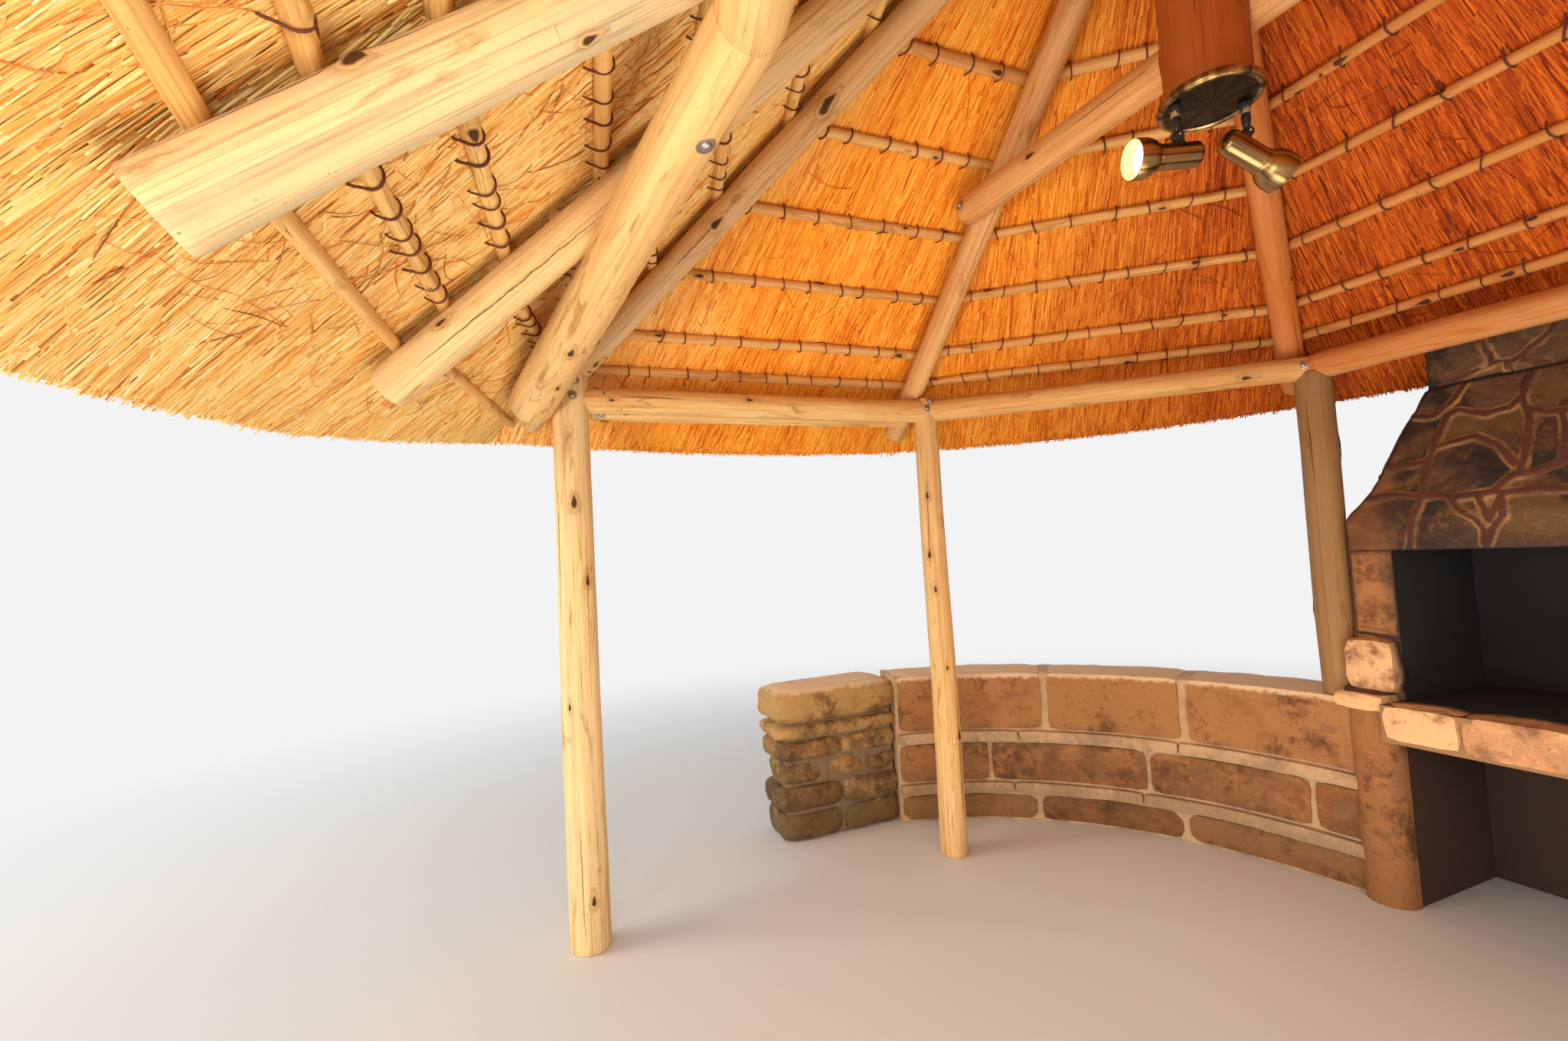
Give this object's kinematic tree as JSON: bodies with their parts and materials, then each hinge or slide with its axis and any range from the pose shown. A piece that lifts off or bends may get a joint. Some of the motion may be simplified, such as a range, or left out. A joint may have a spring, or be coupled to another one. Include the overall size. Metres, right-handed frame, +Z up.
{
  "type": "round thatched pole shelter",
  "caption": "Open thatched shelter on round poles with a ring of beams, radial rafters and laths, a low curved stone wall, a stone fireplace with chimney and a twin spotlight",
  "frame": {"origin": "on the ground under the apex of the roof, midway between the front eave and the back of the fireplace", "axes": "+X to the right seen from the open front, +Y from the open front towards the fireplace, +Z up"},
  "size_m": [5.398, 5.344, 4.5],
  "materials": {
    "gum_poles": "peeled poles, dry and pale with dark knots and cracks",
    "lath_poles": "thin peeled poles bound with dark twine",
    "thatch": "combed grass, orange gold below and weathered grey outside",
    "mortar_cap": "trowelled mortar, weathered",
    "wall_stone": "coursed sandstone with pale mortar",
    "hearth_stone": "brown sandstone with raised ribbon pointing",
    "bronze": "brushed antique brass",
    "black_metal": "satin black"
  },
  "bodies": {
    "shelter": {"post_a_l": "gum_poles", "post_a_r": "gum_poles", "post_b_l": "gum_poles", "post_b_r": "gum_poles", "post_c_l": "gum_poles", "post_c_r": "gum_poles", "beam_ab_l": "gum_poles", "beam_ab_r": "gum_poles", "beam_bc_l": "gum_poles", "beam_bc_r": "gum_poles", "beam_cc": "gum_poles", "front_beam_l": "gum_poles", "front_beam_r": "gum_poles", "rafter_a_l": "gum_poles", "rafter_a_r": "gum_poles", "rafter_b_l": "gum_poles", "rafter_b_r": "gum_poles", "rafter_c_l": "gum_poles", "rafter_c_r": "gum_poles", "rafter_2_l": "gum_poles", "rafter_2_r": "gum_poles", "rafter_1": "gum_poles", "king_post": "gum_poles", "tie_pole": "gum_poles", "laths_left": "lath_poles", "laths_right": "lath_poles", "laths_back": "lath_poles", "laths_front": "lath_poles", "thatch_left": "thatch", "thatch_right": "thatch", "thatch_back": "thatch", "thatch_front": "thatch", "ridge_cap": "mortar_cap", "wall_l": "wall_stone", "wall_r": "wall_stone", "pier_l_end": "wall_stone", "pier_r_end": "wall_stone", "braai_base": "hearth_stone", "braai_hood": "hearth_stone", "chimney": "hearth_stone", "lamp_base": "bronze"},
    "spot_1_stem": {"spot_1_stem": "black_metal"},
    "spot_1_head": {"spot_1_head": "bronze"},
    "spot_2_stem": {"spot_2_stem": "black_metal"},
    "spot_2_head": {"spot_2_head": "bronze"}
  },
  "joints": [
    {"name": "spot_1_pan", "type": "hinge", "parent": "shelter", "child": "spot_1_stem", "pos_m": [-0.07404, -0.08869, 2.758], "axis": [0, 0, 1], "range_deg": [-60, 60]},
    {"name": "spot_1_tilt", "type": "hinge", "parent": "spot_1_stem", "child": "spot_1_head", "pos_m": [-0.07404, -0.08869, 2.676], "axis": [0.9563, -0.2924, 0], "range_deg": [-18, 34]},
    {"name": "spot_2_pan", "type": "hinge", "parent": "shelter", "child": "spot_2_stem", "pos_m": [-0.00596, 0.08869, 2.758], "axis": [0, 0, 1], "range_deg": [-60, 60]},
    {"name": "spot_2_tilt", "type": "hinge", "parent": "spot_2_stem", "child": "spot_2_head", "pos_m": [-0.00596, 0.08869, 2.676], "axis": [-0.9744, 0.225, 0], "range_deg": [-42, 12]}
  ]
}
